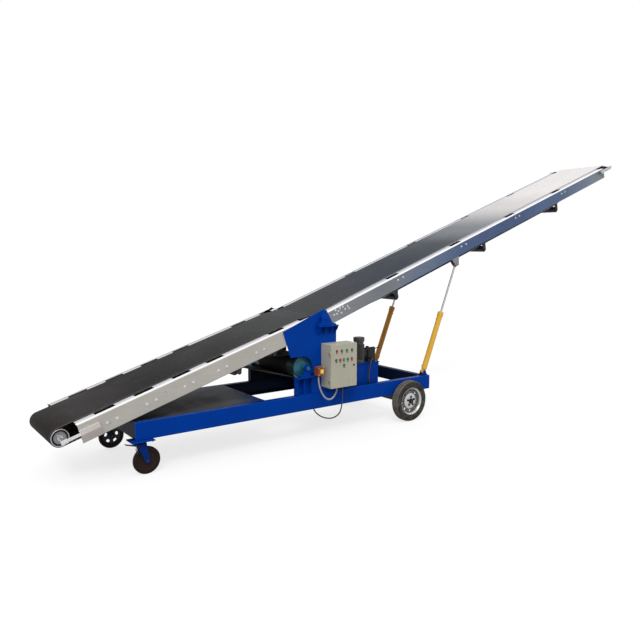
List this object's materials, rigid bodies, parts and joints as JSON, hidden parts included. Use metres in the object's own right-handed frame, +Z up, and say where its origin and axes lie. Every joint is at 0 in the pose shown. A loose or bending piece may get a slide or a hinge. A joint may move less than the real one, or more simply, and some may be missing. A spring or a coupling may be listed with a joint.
{
  "type": "portable belt conveyor",
  "caption": "Wheeled inclined belt conveyor with a low tail section, a cylinder-raised boom, a drive drum under the belt, swivel casters and a control cabinet.",
  "frame": {"origin": "on the floor, under the middle of the whole machine's bounding box", "axes": "+X from the tail drum towards the raised head, +Y away from the control cabinet's side, +Z up"},
  "size_m": [9.466, 1.474, 3.7619],
  "materials": {
    "chassis_blue": "gloss",
    "deck_dark": "matte",
    "side_sheet": "satin",
    "boom_sheet": "satin",
    "bright_steel": "satin",
    "belt_rubber": "matte",
    "tyre_rubber": "matte",
    "dark_steel": "satin",
    "drum_green": "satin",
    "terminal_orange": "satin",
    "cylinder_yellow": "gloss",
    "cabinet_cream": "satin",
    "conduit_grey": "satin",
    "hose_black": "matte",
    "black_parts": "satin"
  },
  "bodies": {
    "machine": {"axle": "dark_steel", "belt_lower": "belt_rubber", "cabinet": "cabinet_cream", "conduit": "conduit_grey", "cross_front": "chassis_blue", "cross_middle": "chassis_blue", "cross_pack": "chassis_blue", "cross_rear": "chassis_blue", "cylinder_foot_far": "chassis_blue", "cylinder_foot_near": "chassis_blue", "deck_plate": "deck_dark", "drive_drum": "drum_green", "drum_bracket_far": "chassis_blue", "drum_bracket_near": "chassis_blue", "guide_roller": "dark_steel", "hose_far": "hose_black", "hose_near": "hose_black", "oil_tank": "chassis_blue", "pivot_shaft": "bright_steel", "power_cable": "hose_black", "pump_motor": "dark_steel", "rail_far": "chassis_blue", "rail_near": "chassis_blue", "snub_front": "dark_steel", "snub_rear": "dark_steel", "tail_bed": "bright_steel", "tail_drum": "bright_steel", "tail_side_far": "side_sheet", "tail_side_near": "side_sheet", "take_up_far": "bright_steel", "take_up_near": "bright_steel", "terminal_box": "terminal_orange", "tower_far": "chassis_blue", "tower_near": "chassis_blue", "tower_tie": "chassis_blue", "valve_block": "black_parts"},
    "boom": {"boom_side_near": "boom_sheet", "boom_side_far": "boom_sheet", "boom_bed": "bright_steel", "head_drum": "dark_steel", "head_slide_near": "bright_steel", "head_slide_far": "bright_steel", "return_idler_1": "dark_steel", "return_idler_2": "dark_steel", "return_idler_3": "dark_steel", "belt_upper": "belt_rubber"},
    "door": {"cabinet_door": "cabinet_cream"},
    "lift_barrel_near": {"barrel_near": "cylinder_yellow"},
    "lift_rod_near": {"rod_near": "bright_steel"},
    "caster_fork_body_near": {"caster_fork_near": "chassis_blue"},
    "caster_wheel_body_near": {"caster_wheel_near": "dark_steel"},
    "rear_wheel_near": {"rear_rim_near": "bright_steel", "rear_tyre_near": "tyre_rubber"},
    "lift_barrel_far": {"barrel_far": "cylinder_yellow"},
    "lift_rod_far": {"rod_far": "bright_steel"},
    "caster_fork_body_far": {"caster_fork_far": "chassis_blue"},
    "caster_wheel_body_far": {"caster_wheel_far": "dark_steel"},
    "rear_wheel_far": {"rear_rim_far": "bright_steel", "rear_tyre_far": "tyre_rubber"}
  },
  "joints": [
    {"name": "boom_lift", "type": "hinge", "parent": "machine", "child": "boom", "pos_m": [-1.57748, 0.031, 1.475], "axis": [0, -1, 0], "range_deg": [-18.9, 2.6]},
    {"name": "door_swing", "type": "hinge", "parent": "machine", "child": "door", "pos_m": [-1.60848, -0.7165, 0.9], "axis": [0, 0, -1], "range_deg": [0, 110]},
    {"name": "barrel_tilt_near", "type": "hinge", "parent": "machine", "child": "lift_barrel_near", "pos_m": [0.21252, -0.469, 0.6], "axis": [0, -1, 0], "range_deg": [-23, 4]},
    {"name": "rod_slide_near", "type": "slide", "parent": "lift_barrel_near", "child": "lift_rod_near", "axis": [0.3805, 0, 0.9248], "range_m": [-0.66, 0.1]},
    {"name": "caster_swivel_near", "type": "hinge", "parent": "machine", "child": "caster_fork_body_near", "pos_m": [-3.88248, -0.507, 0.33], "axis": [0, 0, 1], "continuous": true},
    {"name": "caster_roll_near", "type": "hinge", "parent": "caster_fork_body_near", "child": "caster_wheel_body_near", "pos_m": [-3.82748, -0.507, 0.145], "axis": [0, 1, 0], "continuous": true},
    {"name": "wheel_roll_near", "type": "hinge", "parent": "machine", "child": "rear_wheel_near", "pos_m": [-0.19248, -0.615, 0.275], "axis": [0, 1, 0], "continuous": true},
    {"name": "barrel_tilt_far", "type": "hinge", "parent": "machine", "child": "lift_barrel_far", "pos_m": [0.21252, 0.531, 0.6], "axis": [0, -1, 0], "range_deg": [-23, 4]},
    {"name": "rod_slide_far", "type": "slide", "parent": "lift_barrel_far", "child": "lift_rod_far", "axis": [0.3805, 0, 0.9248], "range_m": [-0.66, 0.1]},
    {"name": "caster_swivel_far", "type": "hinge", "parent": "machine", "child": "caster_fork_body_far", "pos_m": [-3.88248, 0.569, 0.33], "axis": [0, 0, 1], "continuous": true},
    {"name": "caster_roll_far", "type": "hinge", "parent": "caster_fork_body_far", "child": "caster_wheel_body_far", "pos_m": [-3.82748, 0.569, 0.145], "axis": [0, 1, 0], "continuous": true},
    {"name": "wheel_roll_far", "type": "hinge", "parent": "machine", "child": "rear_wheel_far", "pos_m": [-0.19248, 0.677, 0.275], "axis": [0, 1, 0], "continuous": true}
  ],
  "couplings": [
    {"joint": "barrel_tilt_near", "follows": "boom_lift", "ratio": 1.12},
    {"joint": "rod_slide_near", "follows": "boom_lift", "m_per_rad": 1.97},
    {"joint": "barrel_tilt_far", "follows": "boom_lift", "ratio": 1.12},
    {"joint": "rod_slide_far", "follows": "boom_lift", "m_per_rad": 1.97}
  ]
}
